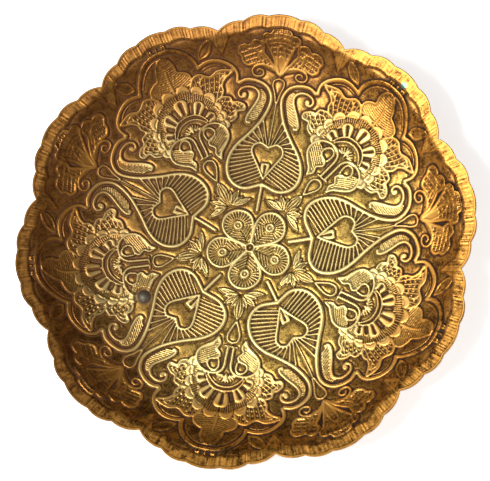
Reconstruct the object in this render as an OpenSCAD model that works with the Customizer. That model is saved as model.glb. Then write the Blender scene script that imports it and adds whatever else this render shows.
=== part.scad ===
// Cast brass dish tray with a scalloped edge, standing on three riveted bun feet.
// Millimetres, +Z up. The origin is the middle of the tray on the surface that it stands on.
// A lobe's tip lies on the +Y axis, and the feet's rivets pass through the floor.

/* [Tray] */
// Distance across two opposite lobe tips
tray_w = 250; // [200:1:320]
// Number of lobes round the edge
lobe_count = 10; // [6:2:14]
// How far the notch between two lobes lies inside the lobe tips
lobe_depth = 8.8; // [4:0.1:14]
// How far each small scallop bulges past the line between its two notches
scallop_bulge = 1.8; // [1.2:0.1:3]
// Diameter of the flat part of the floor
floor_d = 140; // [120:1:160]
// Diameter where the bowl's wall turns out into the lip
lip_d = 224; // [196:1:260]
// Height that the wall rises from the floor to the start of the lip
wall_rise = 17; // [8:0.5:30]
// Slope of the lip above the horizontal, in degrees
lip_slope = 12; // [0:1:20]
// Radius of the bend between the wall and the lip
lip_bend_r = 8; // [5:0.5:14]
// Thickness of the casting
cast_t = 2.6; // [1.8:0.1:4]

/* [Relief] */
// Height of the cast relief above the ground
relief_h = 1; // [0.4:0.1:1.6]
// Width of the raised band along the scalloped edge
band_w = 7.5; // [4:0.1:9]
// Length of the tongue that the band sends in from each notch
tongue_l = 9; // [4:0.5:14]
// Width of that tongue at the band
tongue_w = 11; // [6:0.5:16]
// Width of the ridges that draw the petals
ridge_w = 2.4; // [1.2:0.1:3]
// Number of petals in the middle flower
petal_count = 5; // [3:1:6]
// Distance from the middle to the centre of each petal
petal_pitch_r = 14; // [11:0.5:18]
// Outer radius of each petal's rim
petal_r = 9.5; // [6:0.5:11]
// Radius of the boss in the middle of the flower
boss_r = 3; // [2:0.1:4]

/* [Feet] */
// Distance from the tray's middle to each foot
foot_pitch_r = 63; // [50:0.5:64]
// Angle of the first foot from the +X axis, in degrees
foot_turn = 215; // [0:1:359]
// Height of a foot
foot_h = 9; // [6:0.5:16]
// Diameter of a foot at its belly
foot_d = 17; // [14:0.5:22]
// Diameter of a foot's flange, under the floor
foot_flange_d = 13; // [11:0.5:14]
// Thickness of that flange
foot_flange_t = 1.6; // [1:0.1:2.5]
// Diameter of the flat that a foot stands on
foot_pad_d = 11; // [9:0.5:13]

/* [Rivets] */
// Diameter of a rivet's shank
rivet_d = 4; // [3:0.1:5]
// Diameter of the first rivet's domed head
rivet_head_d = 7.5; // [6:0.1:10]
// Height of that head above the floor
rivet_head_h = 1.9; // [1:0.1:3]
// Diameter of the upset tail in a foot's counterbore
rivet_tail_d = 6.4; // [5:0.1:7.5]
// Thickness of that tail
rivet_tail_t = 1.4; // [0.8:0.1:2]
// Diameter of a flush rivet's countersunk head
rivet_sink_d = 6; // [5:0.1:7]
// Depth of its countersink
rivet_sink_t = 1.2; // [0.6:0.1:1.4]
// How far the tail stays above the surface that the feet stand on
rivet_tail_gap = 1.2; // [0.8:0.1:2]
// Clearance round the shank and the tail
rivet_clearance = 0.1; // [0.02:0.01:0.3]

/* [Hidden] */

tray_r = tray_w / 2;
floor_r = floor_d / 2;
lip_r = lip_d / 2;
floor_z = foot_h + cast_t;
lobe_step = 360 / lobe_count;
petal_step = 360 / petal_count;
foot_step = 360 / 3;
hole_r = rivet_d / 2 + rivet_clearance;
tail_z = rivet_tail_gap + rivet_tail_t;

// The wall is one arc, tangent to the floor at floor_r, that has risen wall_rise at lip_r
wall_run = lip_r - floor_r;
wall_arc_r = (wall_run * wall_run + wall_rise * wall_rise) / (2 * wall_rise);
wall_turn = asin(wall_run / wall_arc_r);
// A second arc bends it out to the lip's slope, about [bend_x, bend_z]
bend_x = lip_r + lip_bend_r * sin(wall_turn);
bend_z = wall_rise - lip_bend_r * cos(wall_turn);
bend_end_r = bend_x - lip_bend_r * sin(lip_slope);

// Rings of the shell's mesh between the floor and the band, and points along each scallop
wall_rings = 7;
scallop_steps = 3;
// Width of the band's sloping inner side, and of the rounding along the edge
band_side_w = 0.7;
edge_round = 0.6;

// A lobe's notches, as [part of half the lobe's angle, part of the lobe's depth]
NOTCHES = [[-1, 1], [-0.605, 0.52], [-0.235, 0.2], [0.235, 0.2], [0.605, 0.52], [1, 1]];

round_fn = 96;
fine_fn = 48;

module tray() {
    color("#b8923f")
    difference() {
        union() {
            shell();
            translate([0, 0, foot_h + cast_t / 2])
            linear_extrude(height = cast_t / 2 + relief_h) flower();
        }
        for (foot = [0 : 2]) at_foot(foot) cylinder(h = floor_z + relief_h + 1, r = hole_r, $fn = fine_fn);
        for (foot = [0 : 2]) at_foot(foot) rivet_seat(foot);
    }
}

// Room above the floor for a rivet's head, and the countersink of a flush one
module rivet_seat(foot) {
    head_d = foot == 0 ? rivet_head_d : rivet_sink_d;
    translate([0, 0, floor_z]) cylinder(h = relief_h + 1, d = head_d + 2 * rivet_clearance, $fn = fine_fn);
    if (foot > 0) translate([0, 0, floor_z]) rotate_extrude($fn = fine_fn) sink_section();
}

// The casting is a closed net of rings, each with one point for every point of the edge
module shell() {
    edge = edge_points();
    count = len(edge);
    rings = len(stations(edge[0]));
    points = [for (k = [0 : rings - 1], p = edge) station_point(p, stations(p)[k])];
    sides = [
        for (k = [0 : rings - 2], i = [0 : count - 1], half = [0, 1])
        let (a = k * count + i, b = k * count + (i + 1) % count)
        half == 0 ? [a, b, b + count] : [a, b + count, a + count]
    ];
    floor_face = [for (i = [count - 1 : -1 : 0]) i];
    under_face = [for (i = [0 : count - 1]) (rings - 1) * count + i];
    translate([0, 0, floor_z])
    polyhedron(points = points, faces = concat([floor_face], sides, [under_face]), convexity = 6);
}

// From the floor's edge up to the rim and back below, as [radius, height]
function stations(p) =
    let (r = norm(p), band_r = r - band_w - tongue(p), step = (band_r - floor_r) / wall_rings)
    concat(
        [for (k = [0 : wall_rings]) [floor_r + k * step, bowl_z(floor_r + k * step)]],
        [[band_r + band_side_w, bowl_z(band_r + band_side_w) + relief_h]],
        [[r - edge_round, bowl_z(r) + relief_h]],
        [[r, bowl_z(r) + relief_h - edge_round]],
        [[r, under_z(r)]],
        [for (k = [wall_rings : -1 : 0]) [floor_r + k * step, under_z(floor_r + k * step)]]
    );

function station_point(p, station) = [p.x, p.y, 0] * station[0] / norm(p) + [0, 0, station[1]];

// Height of the bowl's upper face above the floor, at a radius
function bowl_z(r) =
    r <= floor_r ? 0
    : r <= lip_r ? wall_arc_r - sqrt(wall_arc_r * wall_arc_r - pow(r - floor_r, 2))
    : r <= bend_end_r ? bend_z + sqrt(lip_bend_r * lip_bend_r - pow(bend_x - r, 2))
    : bend_z + lip_bend_r * cos(lip_slope) + (r - bend_end_r) * tan(lip_slope);

// Slope of that face, which keeps the wall's thickness the same all over
function bowl_slope(r) =
    r <= floor_r ? 0
    : r <= lip_r ? asin((r - floor_r) / wall_arc_r)
    : r <= bend_end_r ? asin((bend_x - r) / lip_bend_r)
    : lip_slope;

function under_z(r) = bowl_z(r) - cast_t / cos(bowl_slope(r));

// The band sends a tongue in along the notch between two lobes
function tongue(p) =
    let (
        turn = atan2(p.y, p.x) - 90,
        from_tip = turn - lobe_step * round(turn / lobe_step),
        aside = (lobe_step / 2 - abs(from_tip)) * PI / 180 * norm(p)
    )
    tongue_l * max(0, 1 - 2 * aside / tongue_w);

// The edge is a chain of scallops, each an arc from one notch to the next
function edge_points() = [
    for (lobe = [0 : lobe_count - 1], i = [0 : len(NOTCHES) - 2])
    each scallop(notch(lobe, NOTCHES[i]), notch(lobe, NOTCHES[i + 1]))
];

function notch(lobe, place) =
    let (turn = 90 + (lobe + place[0] / 2) * lobe_step, r = tray_r - place[1] * lobe_depth)
    [r * cos(turn), r * sin(turn)];

// Points along the arc that bulges outwards from a to b, with b left for the next scallop
function scallop(a, b) =
    let (
        half = norm(b - a) / 2,
        r = (half * half + scallop_bulge * scallop_bulge) / (2 * scallop_bulge),
        along = (b - a) / (2 * half),
        out = [along.y, -along.x],
        centre = (a + b) / 2 - (r - scallop_bulge) * out,
        spread = asin(half / r)
    )
    [
        for (j = [0 : scallop_steps - 1])
        let (turn = spread * (2 * j / scallop_steps - 1))
        centre + r * (out * cos(turn) + along * sin(turn))
    ];

// A boss with a ring of round petals about it
module flower() {
    circle(r = boss_r, $fn = fine_fn);
    difference() {
        petals(petal_r);
        petals(petal_r - ridge_w);
    }
}

module petals(r) {
    for (petal = [0 : petal_count - 1]) {
        rotate((petal + 0.5) * petal_step) translate([0, petal_pitch_r]) circle(r = r, $fn = fine_fn);
    }
}

module at_foot(foot) {
    rotate(foot_turn + foot * foot_step) translate([foot_pitch_r, 0, 0]) children();
}

// A turned bun foot, bored for its rivet, with a counterbore underneath for the rivet's tail
module foot(number) {
    color("#a8823a")
    at_foot(number)
    difference() {
        rotate_extrude($fn = round_fn) foot_section();
        translate([0, 0, -1]) cylinder(h = foot_h + 2, r = hole_r, $fn = fine_fn);
        translate([0, 0, -1]) cylinder(h = tail_z + 1, r = rivet_tail_d / 2 + rivet_clearance, $fn = fine_fn);
    }
}

module foot_section() {
    belly_h = foot_h - foot_flange_t;
    square([foot_pad_d / 2, foot_h]);
    intersection() {
        translate([(foot_d - belly_h) / 2, belly_h / 2]) circle(d = belly_h, $fn = fine_fn);
        square([foot_d, belly_h]);
    }
    translate([0, belly_h]) square([foot_flange_d / 2, foot_flange_t]);
}

// The dark rivet stands on the floor with a domed head
module domed_rivet(number) {
    dome_r = (pow(rivet_head_d / 2, 2) + rivet_head_h * rivet_head_h) / (2 * rivet_head_h);
    color("#3b3a33")
    at_foot(number)
    rotate_extrude($fn = round_fn) {
        translate([0, rivet_tail_gap]) square([rivet_d / 2, floor_z - rivet_tail_gap]);
        translate([0, rivet_tail_gap]) square([rivet_tail_d / 2, rivet_tail_t]);
        translate([0, floor_z]) intersection() {
            translate([0, rivet_head_h - dome_r]) circle(r = dome_r, $fn = round_fn);
            square([rivet_head_d / 2, rivet_head_h]);
        }
    }
}

// A brass rivet is spread into its countersink and filed level with the floor
module flush_rivet(number) {
    color("#b8923f")
    at_foot(number)
    rotate_extrude($fn = round_fn)
    polygon([
        [0, rivet_tail_gap],
        [rivet_tail_d / 2, rivet_tail_gap],
        [rivet_tail_d / 2, tail_z],
        [rivet_d / 2, tail_z],
        [rivet_d / 2, floor_z - rivet_sink_t],
        [hole_r, floor_z - rivet_sink_t],
        [rivet_sink_d / 2, floor_z],
        [0, floor_z]
    ]);
}

// The countersink's half section, with its mouth at z = 0
module sink_section() {
    polygon([[0, 0], [rivet_sink_d / 2, 0], [hole_r, -rivet_sink_t], [0, -rivet_sink_t]]);
}

tray();
foot(0);  // foot_1
foot(1);  // foot_2
foot(2);  // foot_3
domed_rivet(0);  // rivet_1
flush_rivet(1);  // rivet_2
flush_rivet(2);  // rivet_3
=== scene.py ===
# %% [markdown]
# # A cast brass dish tray
#
# The real tray is one sand casting in brass. Its pattern was carved with hearts, leaves and
# flowers, its edge is cut in ten lobes of five small scallops, and three bun feet are riveted
# below the floor. This lesson builds it the way the foundry did: first the plain bowl, then the
# carving that stands on it, then the dark patina that settles in the hollows.
#
# The packed CAD model comes first. It is the frame that every piece below has to fit.

# %% Load the frame
import bmesh
import bpy
import numpy as np
from math import cos, pi, radians, sin, sqrt, tan
from mathutils import Matrix, Vector


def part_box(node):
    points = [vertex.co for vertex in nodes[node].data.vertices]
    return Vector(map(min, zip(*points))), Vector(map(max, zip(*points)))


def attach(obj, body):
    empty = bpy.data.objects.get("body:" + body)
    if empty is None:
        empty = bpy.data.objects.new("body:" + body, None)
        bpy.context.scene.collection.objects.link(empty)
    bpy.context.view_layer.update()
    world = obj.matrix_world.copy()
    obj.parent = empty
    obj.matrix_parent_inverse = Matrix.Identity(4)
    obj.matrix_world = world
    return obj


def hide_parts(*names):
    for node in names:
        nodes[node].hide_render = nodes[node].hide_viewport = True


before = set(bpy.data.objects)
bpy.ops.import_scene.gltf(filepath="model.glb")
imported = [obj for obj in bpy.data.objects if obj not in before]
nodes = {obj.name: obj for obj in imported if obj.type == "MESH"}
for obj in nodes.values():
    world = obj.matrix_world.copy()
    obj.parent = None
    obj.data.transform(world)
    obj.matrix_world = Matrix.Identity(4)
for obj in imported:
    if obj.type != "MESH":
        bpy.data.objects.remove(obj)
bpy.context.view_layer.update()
print("CAD nodes:", sorted(nodes))

# %% [markdown]
# ## The sizes
#
# Lengths are in millimetres while the carving is drawn, because a foundry's pattern maker would
# use them, and they become metres when a mesh is made. Heights are measured from the tray's
# floor. The flush rivets end level with that floor, so the packed model says where it is.

# %% Sizes of the casting
MM = 0.001
FLOOR_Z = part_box("rivet_2")[1].z / MM
FLOOR_R = 70.0
LIP_R = 112.0
WALL_RISE = 17.0
LIP_SLOPE = radians(12)
LIP_BEND_R = 8.0
CAST_T = 2.6
TRAY_R = 125.0
LOBES = 10
LOBE_DEPTH = 8.8
SCALLOP_BULGE = 1.8
LOBE_STEP = 360 / LOBES
rivet_axes = [sum(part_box(f"rivet_{i}"), Vector()) / 2 / MM for i in (1, 2, 3)]
print("floor at", round(FLOOR_Z, 2), "mm, rivets at",
      [[round(v, 1) for v in axis[:2]] for axis in rivet_axes])

# %% [markdown]
# ## The bowl
#
# From the middle outwards the section is a flat floor, one long arc for the wall, a short bend
# the other way and a lip that still rises a little. Each part is tangent to the next, so the
# light runs over the wall without a break. The floor sinks two millimetres to its middle, as a
# hand-made dish may, and is level with the true floor where the rivets stand. One function gives
# the height at any radius, and another gives the underside, at the thickness of the casting.

# %% Section of the bowl
wall_arc_r = ((LIP_R - FLOOR_R) ** 2 + WALL_RISE ** 2) / (2 * WALL_RISE)
wall_turn = np.arcsin((LIP_R - FLOOR_R) / wall_arc_r)
bend_x = LIP_R + LIP_BEND_R * sin(wall_turn)
bend_z = WALL_RISE - LIP_BEND_R * cos(wall_turn)
bend_end_r = bend_x - LIP_BEND_R * sin(LIP_SLOPE)
SINK = 2.0
RIVET_R = 63.0
SINK_END_R = 108.0


def dish(r):
    """How far the floor lies above the true one. Inside the rivets' circle it is below it."""
    out = np.clip((r - RIVET_R) / (SINK_END_R - RIVET_R), 0, 1)
    rise = 2 * SINK / RIVET_R * (SINK_END_R - RIVET_R) * out * (1 - out) ** 3
    return np.where(r < RIVET_R, -SINK * (1 - (r / RIVET_R) ** 2), rise)


def bowl(r):
    """Height of the upper face above the floor at each radius, before the dish is added."""
    wall = wall_arc_r - np.sqrt(np.maximum(wall_arc_r ** 2 - (r - FLOOR_R) ** 2, 0))
    bend = bend_z + np.sqrt(np.maximum(LIP_BEND_R ** 2 - (bend_x - r) ** 2, 0))
    lip = bend_z + LIP_BEND_R * cos(LIP_SLOPE) + (r - bend_end_r) * tan(LIP_SLOPE)
    return np.select([r <= FLOOR_R, r <= LIP_R, r <= bend_end_r], [0 * r, wall, bend], lip)


def underside(r):
    """Height of the lower face, a wall's thickness below the upper one, square to its slope."""
    wall = np.arcsin(np.clip((r - FLOOR_R) / wall_arc_r, 0, 1))
    bend = np.arcsin(np.clip((bend_x - r) / LIP_BEND_R, 0, 1))
    slope = np.select([r <= FLOOR_R, r <= LIP_R, r <= bend_end_r], [0 * r, wall, bend], LIP_SLOPE)
    return bowl(r) - CAST_T / np.cos(slope) + np.minimum(dish(r), 0)


print("lip starts at", round(float(bowl(np.array([LIP_R]))[0]), 1), "mm and ends at",
      round(float(bowl(np.array([TRAY_R]))[0]), 1), "mm above the floor")

# %% [markdown]
# ## The scalloped edge
#
# Each lobe has five small scallops between six notches, and each scallop is an arc that bulges
# outwards. The notches are given as part of the lobe's half angle and part of its depth, the
# same way as in the CAD source. The result is one list of angles with the edge's radius at each.

# %% Radius of the edge at any angle
NOTCHES = [(-1, 1), (-0.605, 0.52), (-0.235, 0.2), (0.235, 0.2), (0.605, 0.52), (1, 1)]
SCALLOP_STEPS = 24


def notch(place):
    """A notch of the lobe whose tip is on the +Y axis."""
    turn = radians(place[0] * LOBE_STEP / 2)
    r = TRAY_R - place[1] * LOBE_DEPTH
    return np.array([r * sin(turn), r * cos(turn)])


def scallop(a, b):
    """Points along the arc from one notch to the next."""
    half = np.linalg.norm(b - a) / 2
    arc_r = (half ** 2 + SCALLOP_BULGE ** 2) / (2 * SCALLOP_BULGE)
    along = (b - a) / (2 * half)
    out = np.array([-along[1], along[0]])
    centre = (a + b) / 2 - (arc_r - SCALLOP_BULGE) * out
    turns = np.arcsin(half / arc_r) * np.linspace(-1, 1, SCALLOP_STEPS)
    return [centre + arc_r * (out * cos(t) + along * sin(t)) for t in turns]


lobe_edge = np.concatenate([scallop(notch(a), notch(b)) for a, b in zip(NOTCHES, NOTCHES[1:])])
lobe_turns = np.degrees(np.arctan2(lobe_edge[:, 0], lobe_edge[:, 1]))
lobe_radii = np.hypot(lobe_edge[:, 0], lobe_edge[:, 1])
# The lobes were set out by hand, and slip out of step with the pattern by a degree or two
EDGE_SLIP = 1.9
EDGE_SLIP_TURN = 76


def slipped(turn):
    """The turn on the true edge that a turn on the hand-cut edge stands for."""
    return turn + EDGE_SLIP * np.cos(np.radians(turn - EDGE_SLIP_TURN))


def edge_radius(turn):
    """Radius of the edge at an angle in degrees, clockwise from +Y."""
    from_tip = (turn + LOBE_STEP / 2) % LOBE_STEP - LOBE_STEP / 2
    return np.interp(from_tip, lobe_turns, lobe_radii)


print("edge runs from", round(lobe_radii.min(), 1), "to", round(lobe_radii.max(), 1), "mm")

# %% [markdown]
# ## Drawing the carving
#
# The carving could be sculpted by hand or displaced from an image, but a few strokes are easier
# to correct. Each stroke is a smooth line through chosen points, in millimetres. A round ridge
# lies along it, or it closes a raised plate, or it cuts a groove. What is drawn later lies in
# front, so a ridge also wipes the grooves below it. Ground keeps three things for every point
# of a surface: how high it stands, how deep it is cut and how far the nearest raised edge is.

# %% Smooth lines
CURVE_STEPS = 5


def curve(points, steps=CURVE_STEPS):
    """A smooth line through a few chosen points."""
    p = np.array(points, float)
    p = np.concatenate([p[:1], p, p[-1:]])
    t = (np.arange(steps) / steps)[:, None]
    parts = []
    for a, b, c, d in zip(p, p[1:], p[2:], p[3:]):
        bend = (2 * a - 5 * b + 4 * c - d) * t ** 2 + (3 * b - a - 3 * c + d) * t ** 3
        parts.append(0.5 * (2 * b + (c - a) * t + bend))
    return np.concatenate(parts + [p[-1:]])


def ring(x, y, r, steps=24):
    """A closed circle about a point."""
    t = np.linspace(0, 2 * pi, steps + 1)
    return np.stack([x + r * np.cos(t), y + r * np.sin(t)], 1)


def mirrored(line):
    """The line and its mirror image, as one closed outline."""
    both = np.concatenate([line, (line * [-1, 1])[::-1]])
    return np.concatenate([both, both[:1]])


def placed(points, x, y, turn):
    """Points turned clockwise by some degrees, then moved to (x, y)."""
    c, s = cos(radians(turn)), sin(radians(turn))
    p = np.asarray(points, float)
    return np.stack([x + p[:, 0] * c + p[:, 1] * s, y - p[:, 0] * s + p[:, 1] * c], 1)


def at_length(line, part):
    """The points at these parts of a line's length."""
    run = np.concatenate([[0], np.cumsum(np.hypot(*np.diff(line, axis=0).T))])
    where = np.asarray(part) * run[-1]
    return np.stack([np.interp(where, run, line[:, 0]), np.interp(where, run, line[:, 1])], 1)


def wave(value, pitch):
    """Round waves between 0 and 1, one every pitch."""
    return 0.5 + 0.5 * np.cos(2 * pi * value / pitch)


print("a circle has", len(ring(0, 0, 1)), "points")


# %% The ground that strokes are carved on
class Ground:
    """Points of a surface, with what stands up on it and what is cut into it."""

    def __init__(self, x, y):
        self.x, self.y = x, y
        self.up = np.zeros(len(x))
        self.cut = np.zeros(len(x))
        self.gap = np.full(len(x), 9.0)

    def near(self, line, reach):
        """The points within reach of a line's box."""
        low, high = line.min(0) - reach, line.max(0) + reach
        in_x = (self.x > low[0]) & (self.x < high[0])
        return np.nonzero(in_x & (self.y > low[1]) & (self.y < high[1]))[0]

    def away(self, line, ids):
        """How far each point is from a line, and which part of the line is nearest."""
        x, y = self.x[ids][:, None], self.y[ids][:, None]
        a, d = line[:-1], np.diff(line, axis=0)
        t = (x - a[:, 0]) * d[:, 0] + (y - a[:, 1]) * d[:, 1]
        t = np.clip(t / ((d ** 2).sum(1) + 1e-9), 0, 1)
        far = np.hypot(x - a[:, 0] - t * d[:, 0], y - a[:, 1] - t * d[:, 1])
        k = far.argmin(1)
        row = np.arange(len(k))
        return far[row, k], (k + t[row, k]) / len(d)

    def inside(self, line, ids):
        """Whether each point is inside a closed outline."""
        x, y = self.x[ids], self.y[ids]
        found = np.zeros(len(ids), bool)
        for (ax, ay), (bx, by) in zip(line[:-1], line[1:]):
            if ay != by:
                crosses = (ay > y) != (by > y)
                found ^= crosses & (x < (bx - ax) * (y - ay) / (by - ay) + ax)
        return found

    def ridge(self, line, width, height=1.0, taper=(1, 1)):
        """A round ridge along a line."""
        ids = self.near(line, width + 2)
        far, along = self.away(line, ids)
        half = width / 2 * (taper[0] + (taper[1] - taper[0]) * along)
        crown = height * np.clip(1 - (far / half) ** 2, 0, 1) ** 0.45
        self.cut[ids] = np.where(crown > self.up[ids] - self.cut[ids], 0, self.cut[ids])
        self.up[ids] = np.maximum(self.up[ids], crown)
        self.gap[ids] = np.minimum(self.gap[ids], far - half)

    def plate(self, line, height=0.8, edge=0.8):
        """A raised shape with a rolled edge. Returns its points and how deep inside they are."""
        line = np.concatenate([line, line[:1]])
        ids = self.near(line, edge + 2)
        far = self.away(line, ids)[0]
        deep = np.where(self.inside(line, ids), far, -far)
        rolled = np.clip(deep / edge, 0, 1)
        self.cut[ids] = np.where(deep > 0, 0, self.cut[ids])
        rise = height * np.sqrt(1 - (1 - rolled) ** 2)
        self.up[ids] = np.where(deep > edge, height, np.maximum(self.up[ids], rise))
        self.gap[ids] = np.minimum(self.gap[ids], -deep)
        return ids, deep

    def groove(self, line, width, depth=0.6, taper=(1, 1)):
        """A round groove along a line."""
        ids = self.near(line, width + 0.5)
        far, along = self.away(line, ids)
        half = width / 2 * (taper[0] + (taper[1] - taper[0]) * along)
        cut = depth * np.clip(1 - (far / half) ** 2, 0, 1)
        self.cut[ids] = np.maximum(self.cut[ids], cut)

    def hatch(self, ids, wanted, value, pitch, depth):
        """Fine grooves where they are wanted, one every pitch of the value."""
        ids, value = ids[wanted], value[wanted]
        self.cut[ids] = np.maximum(self.cut[ids], depth * wave(value, pitch))

    def about(self, ids, y):
        """The angle in degrees and the distance of points about (0, y)."""
        x, y = self.x[ids], self.y[ids] - y
        return np.degrees(np.arctan2(x, y)), np.hypot(x, y)

    def clear(self, line):
        """Wipes everything inside an outline, before what lies in front is drawn."""
        line = np.concatenate([line, line[:1]])
        ids = self.near(line, 0.5)
        ids = ids[self.inside(line, ids)]
        self.up[ids], self.cut[ids], self.gap[ids] = 0, 0, 9


print("strokes:", [name for name in vars(Ground) if not name.startswith("_")])

# %% [markdown]
# ## The five hearts
#
# A heart stands on each fifth of the floor. Its outline is one strong ridge that sweeps up the
# sides, narrows to a neck and curls out over the wall. A small heart with a bud lies inside it,
# and fine rays fill the space between the two. The rays are nearly level at the bottom and
# stand up towards the neck, so each is its own thin ridge from the small heart to the big one.

# %% Strokes of a heart
HEART = curve([
    (0, 34.6), (4, 33.2), (8, 31.9), (11.5, 31.8), (15.5, 33.3), (18.6, 36.5), (20.3, 41),
    (20.5, 45.5), (19.4, 50), (16.8, 55), (13, 60), (9.5, 65), (6.4, 70), (4.2, 75), (3, 80),
    (3.8, 84), (6.2, 87.4), (9.5, 89.3), (14, 90.2), (18, 89.8), (21.2, 87.8),
])
SMALL_HEART = curve([
    (0, 37.5), (2.6, 41.5), (5.4, 46), (8, 50), (9, 53), (8, 56), (5, 57.6), (2.2, 56.6), (0, 55.4),
])
BUD = curve([(0, 38), (1.6, 41), (2.9, 44.2), (2.4, 46.6), (0, 46.6)])
DROP = curve([(0.5, 79.5), (1.5, 84), (3, 88), (2.7, 91), (0, 92.2)])
LEAF_OUT = curve([
    (12.4, 67.6), (14.2, 67.6), (14.6, 70), (13.2, 74), (11.2, 78), (10, 81), (10.2, 84),
    (12.8, 86.2), (16.4, 86.5), (19.6, 85.2), (20.8, 82.8), (19.4, 80.8), (17.2, 81.2), (17, 82.6),
])
LEAF_IN = curve([(12.4, 67.6), (9.2, 69.6), (7.4, 73), (6.2, 76.5), (5.4, 80), (5.8, 83.4), (8.6, 86.4)])
RAY_COUNT = 16
LOW_RAYS = 8


def draw_rays(g):
    """Thin ridges from the small heart to the big one, closest together at the bottom."""
    inner = at_length(SMALL_HEART, np.linspace(0.06, 0.97, RAY_COUNT))
    low = np.linspace(0.155, 0.325, LOW_RAYS)
    high = 0.325 + 0.315 * (np.linspace(0, 1, RAY_COUNT - LOW_RAYS + 1)[1:]) ** 1.25
    outer = at_length(HEART, np.concatenate([low, high]))
    for a, b in zip(inner, outer):
        g.ridge(np.array([a, b]), 1.2, 0.85, (0.75, 1.15))
    g.ridge(np.array([(0, 56), (0, 79)]), 1.0, 0.68)


def draw_heart(g):
    draw_rays(g)
    g.ridge(HEART, 2.5, 1.1)
    g.clear(mirrored(SMALL_HEART)[:-1])
    g.ridge(SMALL_HEART, 1.9, 0.95)
    g.plate(mirrored(BUD)[:-1], 0.8, 0.8)
    g.groove(np.array([(0, 39), (0, 44.5)]), 1.5, 0.8, (0.3, 1))
    g.ridge(np.array([(0, 21.5), (0, 33)]), 2.3, 0.95)
    g.ridge(DROP, 1.4, 0.9)


def draw_curled_leaf(g):
    """The hatched leaf that hangs beside the neck and ends in a curl."""
    ids, deep = g.plate(np.concatenate([LEAF_IN, LEAF_OUT[:36][::-1]]), 0.8, 0.5)
    m = deep > 0.1
    g.hatch(ids, m, g.x[ids] * 0.42 + g.y[ids] * 0.9, 2.1, 1.1)
    g.ridge(LEAF_OUT, 2.0, 1.0)
    g.ridge(ring(17.6, 82.4, 0.7), 1.9, 1.0)


print("heart outline has", len(HEART), "points")

# %% [markdown]
# ## The palmettes
#
# Above each heart a spray of three leaves climbs the wall: one in the middle and one on either
# side, each with rounded lobes and fine cross hatching, with a spiral tendril below.

# %% Strokes of a palmette
PALM_MID = curve([
    (0, 94), (2.4, 99), (5, 104), (8, 108.6), (9.8, 109.6), (10.6, 112), (8.8, 113.6), (6, 113.8),
    (5, 115.8), (2.6, 117.4), (0, 117.8),
])
PALM_SIDE = curve([
    (1.2, 94.6), (4, 98.6), (7, 102), (9.6, 104.6), (9.6, 107.4), (12, 109.4), (15.4, 109.2),
    (17.4, 106.8), (20, 106.6), (23, 105.2), (23.6, 102.4), (21.4, 100.6), (20.6, 98.4),
    (17.6, 97), (14, 98.6),
])
SPIRAL = curve([
    (0.5, 94), (3.5, 97), (8, 98.4), (12.3, 97.8), (15, 95.6), (14.3, 93), (11.4, 92.3),
    (9, 93.6), (9.4, 95.6), (11.6, 96), (12.6, 94.8),
])


def draw_loop(g, x, y, turn, long, wide, width, height):
    """A long loop that is open at its foot, (x, y)."""
    side = [(-0.35, 0), (-0.5, 0.5), (-0.42, 0.82), (0, 1), (0.42, 0.82), (0.5, 0.5), (0.35, 0)]
    line = curve([(wide * a, long * b) for a, b in side])
    g.ridge(placed(line, x, y, turn), width, height)


def draw_palmette(g):
    ids, deep = g.plate(PALM_SIDE, 0.75, 0.8)
    m = deep > 0.6
    g.hatch(ids, m, g.x[ids] * 0.42 + g.y[ids] * 0.9, 2.2, 1.1)
    g.hatch(ids, m, g.x[ids] * 0.9 - g.y[ids] * 0.42, 2.6, 0.8)
    g.ridge(PALM_SIDE, 1.8, 1.1)
    g.ridge(curve([(9, 101), (12, 104), (15, 105.2), (18, 104.6)]), 1.0, 0.85)
    draw_loop(g, 5.6, 98.6, 52, 8.5, 3.6, 1.1, 0.9)
    whole = mirrored(PALM_MID)[:-1]
    g.clear(whole)
    ids, deep = g.plate(whole, 0.75, 0.8)
    m = (deep > 0.8) & (g.y[ids] > 103)
    g.hatch(ids, m, g.y[ids] + 0.03 * g.x[ids] ** 2, 2.2, 1.1)
    g.hatch(ids, m, g.x[ids], 2.6, 0.8)
    g.ridge(PALM_MID, 1.8, 1.1)
    g.ridge(curve([(8.5, 110.4), (5, 110.8), (2.5, 111.6), (0, 111.2)]), 1.0, 0.85)
    draw_loop(g, 0, 96.5, 0, 12, 4.4, 1.3, 1.0)
    g.ridge(SPIRAL, 1.6, 0.95, (1.1, 0.8))


print("palmette outlines have", len(PALM_MID) + len(PALM_SIDE), "points")

# %% [markdown]
# ## The medallions
#
# Between two hearts a big open flower fills a frame of three arches. It is built from the back
# to the front, as a carver thinks of it: serrated leaves, fluted petals, looped petals, then the
# crescent of its heart with stamens, and two volutes below that carry it.

# %% Strokes of a medallion
FLOWER_Y = 70.0
ARCH_MID = curve([(0, 113.8), (5.5, 113.2), (10.5, 110.8), (14.6, 107), (17, 102.6), (17.3, 99.4)])
ARCH_SIDE = curve([
    (17.3, 99.4), (21.5, 100), (26.5, 99.2), (31.3, 96.2), (34.8, 91.8), (35.4, 87.8), (33.6, 84.4),
])
TOP_BUD = curve([
    (0, 111), (3.4, 109.4), (5.5, 105.6), (5.9, 102.2), (8.6, 101), (11.4, 98.8), (11.6, 95.8),
    (9.8, 93),
])
SIDE_LEAVES = [
    curve([
        (9, 92), (12.5, 95.8), (16.5, 96.2), (19.6, 93.8), (22, 92.8), (26, 93.6), (30, 92.4),
        (33.6, 90), (28.8, 88.8), (25.6, 86.6), (24.8, 83.4), (21, 80),
    ]),
    curve([
        (18, 80.5), (22.6, 81), (26.6, 79.4), (27, 76.4), (29.4, 75), (31.6, 72), (30.4, 69.6),
        (26.6, 70.4), (24.6, 67.6), (20.6, 66.8), (17.4, 69.4), (16, 73),
    ]),
]
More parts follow.
